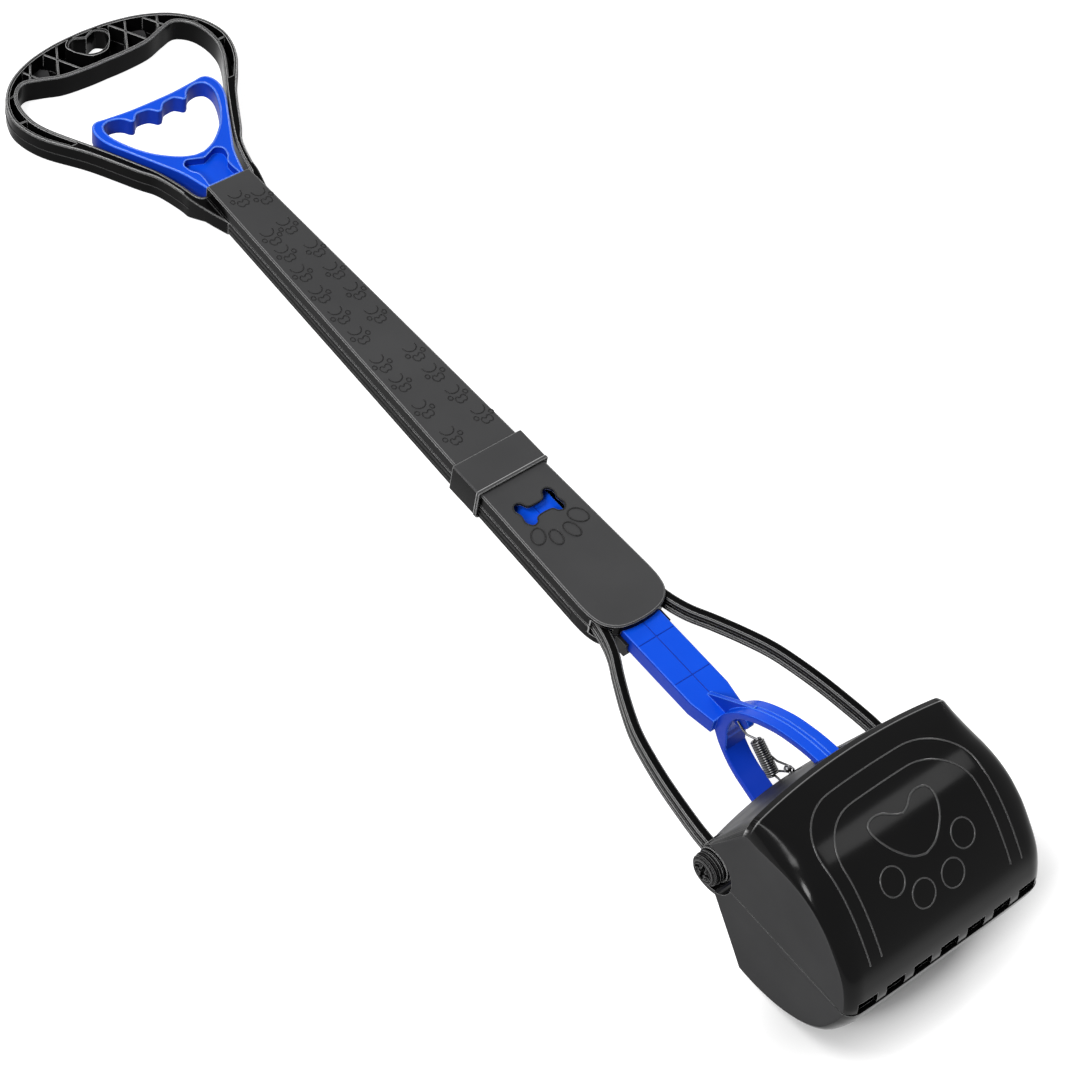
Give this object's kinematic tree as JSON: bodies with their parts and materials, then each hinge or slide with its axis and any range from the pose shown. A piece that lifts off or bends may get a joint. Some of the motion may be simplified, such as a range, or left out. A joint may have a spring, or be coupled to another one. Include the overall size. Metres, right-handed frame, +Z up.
{
  "type": "pooper scooper",
  "caption": "Folding long-handled scoop with a D-shaped grip, a blue finger trigger and two sprung clamshell jaws, lying on its back.",
  "frame": {"origin": "middle of the bounding box on the ground the tool lies on", "axes": "+Y along the pole from the jaws towards the grip, +Z up out of the front cover, +X to the right seen from the front"},
  "size_m": [0.1396, 0.71, 0.1041],
  "materials": {
    "upper_front_cover": "fine matt dark grey moulding",
    "handle_frame": "gloss black moulding",
    "upper_cover_screw_left_1": "dark steel",
    "upper_cover_screw_right_1": "dark steel",
    "upper_cover_screw_left_2": "dark steel",
    "upper_cover_screw_right_2": "dark steel",
    "collar": "fine matt dark grey moulding",
    "trigger_handle": "satin blue moulding",
    "lower_front_cover": "fine matt dark grey moulding",
    "lower_rear_shell": "gloss black moulding",
    "left_fork_arm": "gloss black moulding",
    "right_fork_arm": "gloss black moulding",
    "fold_hinge_pin": "dark steel",
    "pivot_axle": "dark steel",
    "left_pivot_screw": "black finished steel",
    "right_pivot_screw": "black finished steel",
    "left_outer_washer": "black finished steel",
    "right_outer_washer": "black finished steel",
    "left_inner_washer": "black finished steel",
    "right_inner_washer": "black finished steel",
    "spring_pin": "dark steel",
    "return_spring": "dark steel",
    "lower_cover_screw_left_1": "dark steel",
    "lower_cover_screw_right_1": "dark steel",
    "lower_cover_screw_left_2": "dark steel",
    "lower_cover_screw_right_2": "dark steel",
    "pull_fork": "satin blue moulding",
    "front_link_pin": "dark steel",
    "rear_link_pin": "dark steel",
    "front_jaw": "gloss black moulding",
    "rear_jaw": "gloss black moulding"
  },
  "bodies": {
    "lower_pole": {"lower_front_cover": "lower_front_cover", "lower_rear_shell": "lower_rear_shell", "left_fork_arm": "left_fork_arm", "right_fork_arm": "right_fork_arm", "fold_hinge_pin": "fold_hinge_pin", "pivot_axle": "pivot_axle", "left_pivot_screw": "left_pivot_screw", "right_pivot_screw": "right_pivot_screw", "left_outer_washer": "left_outer_washer", "right_outer_washer": "right_outer_washer", "left_inner_washer": "left_inner_washer", "right_inner_washer": "right_inner_washer", "spring_pin": "spring_pin", "return_spring": "return_spring", "lower_cover_screw_left_1": "lower_cover_screw_left_1", "lower_cover_screw_right_1": "lower_cover_screw_right_1", "lower_cover_screw_left_2": "lower_cover_screw_left_2", "lower_cover_screw_right_2": "lower_cover_screw_right_2"},
    "upper_pole": {"upper_front_cover": "upper_front_cover", "handle_frame": "handle_frame", "upper_cover_screw_left_1": "upper_cover_screw_left_1", "upper_cover_screw_right_1": "upper_cover_screw_right_1", "upper_cover_screw_left_2": "upper_cover_screw_left_2", "upper_cover_screw_right_2": "upper_cover_screw_right_2"},
    "collar": {"collar": "collar"},
    "trigger": {"trigger_handle": "trigger_handle"},
    "pull_fork": {"pull_fork": "pull_fork", "front_link_pin": "front_link_pin", "rear_link_pin": "rear_link_pin"},
    "front_jaw": {"front_jaw": "front_jaw"},
    "rear_jaw": {"rear_jaw": "rear_jaw"}
  },
  "joints": [
    {"name": "pole_fold", "type": "hinge", "parent": "lower_pole", "child": "upper_pole", "pos_m": [0, -0.02952, 0.02655], "axis": [-1, 0, 0], "range_deg": [0, 160]},
    {"name": "collar_slide", "type": "slide", "parent": "upper_pole", "child": "collar", "axis": [0, 0.9985, -0.055], "range_m": [0, 0.095]},
    {"name": "trigger_pull", "type": "slide", "parent": "upper_pole", "child": "trigger", "axis": [0, 0.9985, -0.055], "range_m": [0, 0.025], "stiffness_N_per_m": 400, "springref_m": -0.012},
    {"name": "fork_lift", "type": "slide", "parent": "lower_pole", "child": "pull_fork", "axis": [0, 0.9985, -0.055], "range_m": [0, 0.025], "deforming": ["return_spring"]},
    {"name": "front_jaw_swing", "type": "hinge", "parent": "lower_pole", "child": "front_jaw", "pos_m": [0, -0.25707, 0.04821], "axis": [-1, 0, 0], "range_deg": [0, 35.1]},
    {"name": "rear_jaw_swing", "type": "hinge", "parent": "lower_pole", "child": "rear_jaw", "pos_m": [0, -0.25707, 0.04821], "axis": [1, 0, 0], "range_deg": [0, 36.3]}
  ],
  "couplings": [
    {"joint": "collar_slide", "follows": "pole_fold", "m_per_rad": 0.0327},
    {"joint": "fork_lift", "follows": "trigger_pull", "ratio": 1},
    {"joint": "front_jaw_swing", "follows": "trigger_pull", "rad_per_m": 24.365},
    {"joint": "rear_jaw_swing", "follows": "trigger_pull", "rad_per_m": 25.203}
  ]
}
